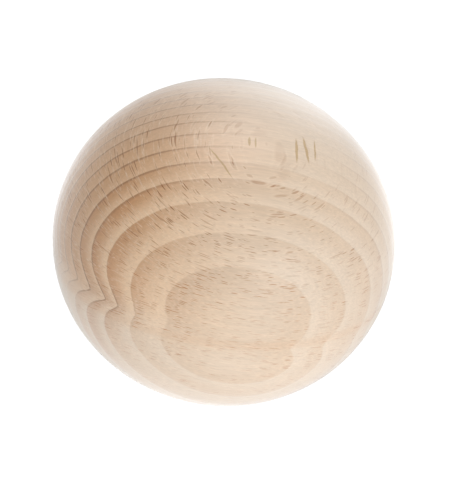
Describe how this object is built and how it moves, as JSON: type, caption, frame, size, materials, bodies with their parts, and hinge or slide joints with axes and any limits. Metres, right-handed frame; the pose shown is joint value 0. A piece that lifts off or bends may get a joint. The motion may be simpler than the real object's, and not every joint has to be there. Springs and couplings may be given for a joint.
{
  "type": "wooden ball",
  "caption": "Solid turned wooden ball in bare beech, slightly oval from drying, with no hole and no flat.",
  "frame": {"origin": "centre of the ball", "axes": "+X along the grain (longest diameter), +Y across the growth rings from the pith side to the bark side, +Z along the growth rings (shortest diameter)"},
  "size_m": [0.05, 0.0488, 0.0474],
  "materials": {
    "beech": "bare sanded beech, matt to satin, with growth rings, pores and ray flecks"
  },
  "bodies": {
    "root": {"ball": "beech"}
  },
  "joints": []
}
